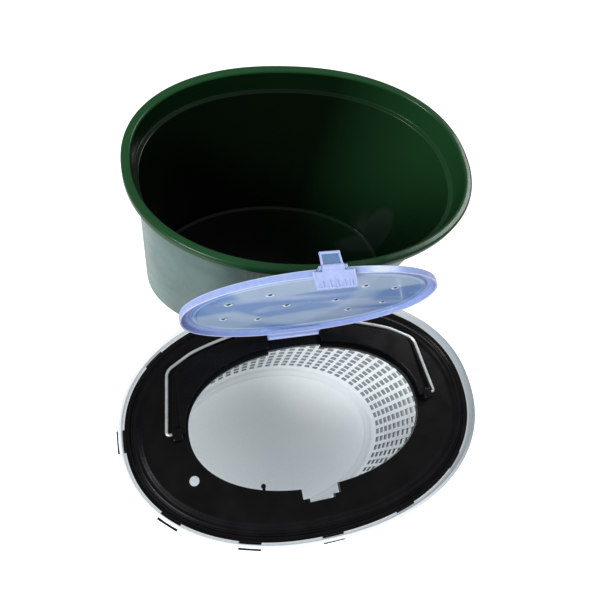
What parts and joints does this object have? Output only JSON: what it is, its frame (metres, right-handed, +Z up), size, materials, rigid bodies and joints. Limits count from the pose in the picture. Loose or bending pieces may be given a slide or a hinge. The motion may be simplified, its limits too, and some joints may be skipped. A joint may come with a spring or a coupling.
{
  "type": "oval live-bait bucket with sieve insert",
  "caption": "Oval bucket with a lift-out sieve basket whose clip-on cover has a hinged vented lid with a catch and a folding wire bail.",
  "frame": {"origin": "centre of the bucket's base, on the floor it stands on", "axes": "+X along the long axis of the ovals, +Y from the basket towards the bucket, +Z up"},
  "size_m": [0.3486, 0.4254, 0.3022],
  "materials": {
    "bucket_green": "glossy moulded polypropylene",
    "basket_white": "natural translucent white polypropylene, satin",
    "cover_black": "black moulded plastic, semi-gloss",
    "wire_zinc": "zinc-plated drawn wire",
    "lid_clear": "bluish translucent polypropylene, glossy",
    "latch_clear": "bluish translucent polypropylene, glossy"
  },
  "bodies": {
    "bucket": {"bucket": "bucket_green"},
    "insert": {"sieve_basket": "basket_white", "cover": "cover_black"},
    "lid": {"lid": "lid_clear"},
    "latch": {"lid_latch": "latch_clear"},
    "bail": {"wire_bail": "wire_zinc"}
  },
  "joints": [
    {"name": "insert_lift", "type": "slide", "parent": "bucket", "child": "insert", "axis": [0, 0, 1], "range_m": [0, 0.23]},
    {"name": "lid_hinge", "type": "hinge", "parent": "insert", "child": "lid", "pos_m": [-0.0334, -0.146, 0.1691], "axis": [1, 0, 0], "range_deg": [0, 90]},
    {"name": "bail_hinge", "type": "hinge", "parent": "insert", "child": "bail", "pos_m": [-0.0334, -0.2141, 0.1702], "axis": [1, 0, 0], "range_deg": [0, 90]},
    {"name": "latch_flex", "type": "hinge", "parent": "lid", "child": "latch", "pos_m": [-0.0334, -0.1437, 0.2999], "axis": [1, 0, 0], "range_deg": [-8, 8]}
  ],
  "couplings": [
    {"joint": "bail_hinge", "follows": "lid_hinge", "ratio": 1}
  ]
}
